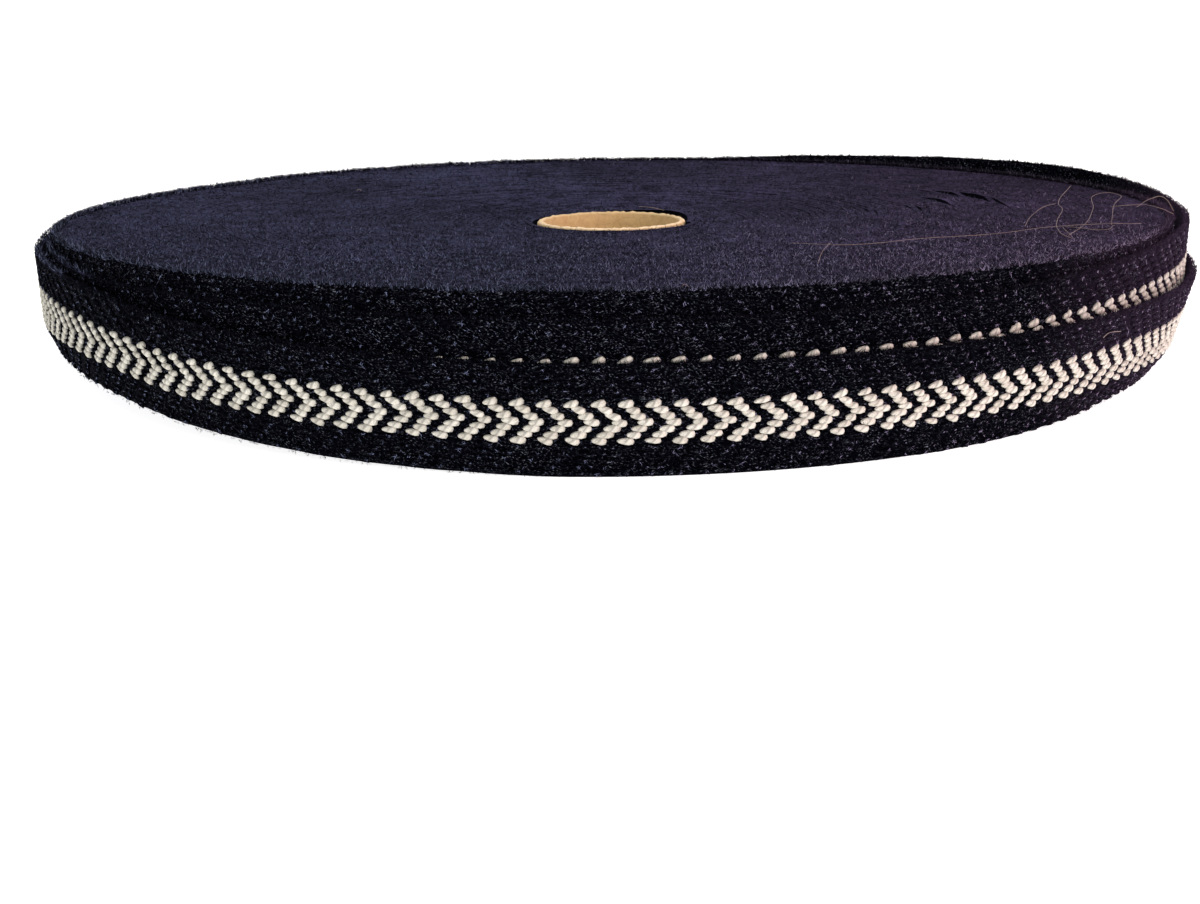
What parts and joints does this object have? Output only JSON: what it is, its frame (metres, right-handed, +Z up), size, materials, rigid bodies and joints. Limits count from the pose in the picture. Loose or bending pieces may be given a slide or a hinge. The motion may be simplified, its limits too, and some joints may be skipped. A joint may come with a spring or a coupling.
{
  "type": "roll of wool braid",
  "caption": "Flat roll of woven wool braid with a chevron band, wound on a short cardboard tube, its outer turns slipped down so that it leans.",
  "frame": {"origin": "on the ground, at the middle of the footprint's box", "axes": "+Z up, out of the roll's upper face; -Y towards the front, where the outer turns have slipped furthest; +X right"},
  "size_m": [0.2795, 0.2776, 0.0393],
  "materials": {
    "cardboard": "matt wound kraft board with a rough cut rim",
    "navy_wool": "fuzzy woven navy wool",
    "cream_wool": "plump cream wool floats woven as a chevron"
  },
  "bodies": {
    "root": {"core_tube": "cardboard", "wound_braid": "navy_wool"}
  },
  "joints": []
}
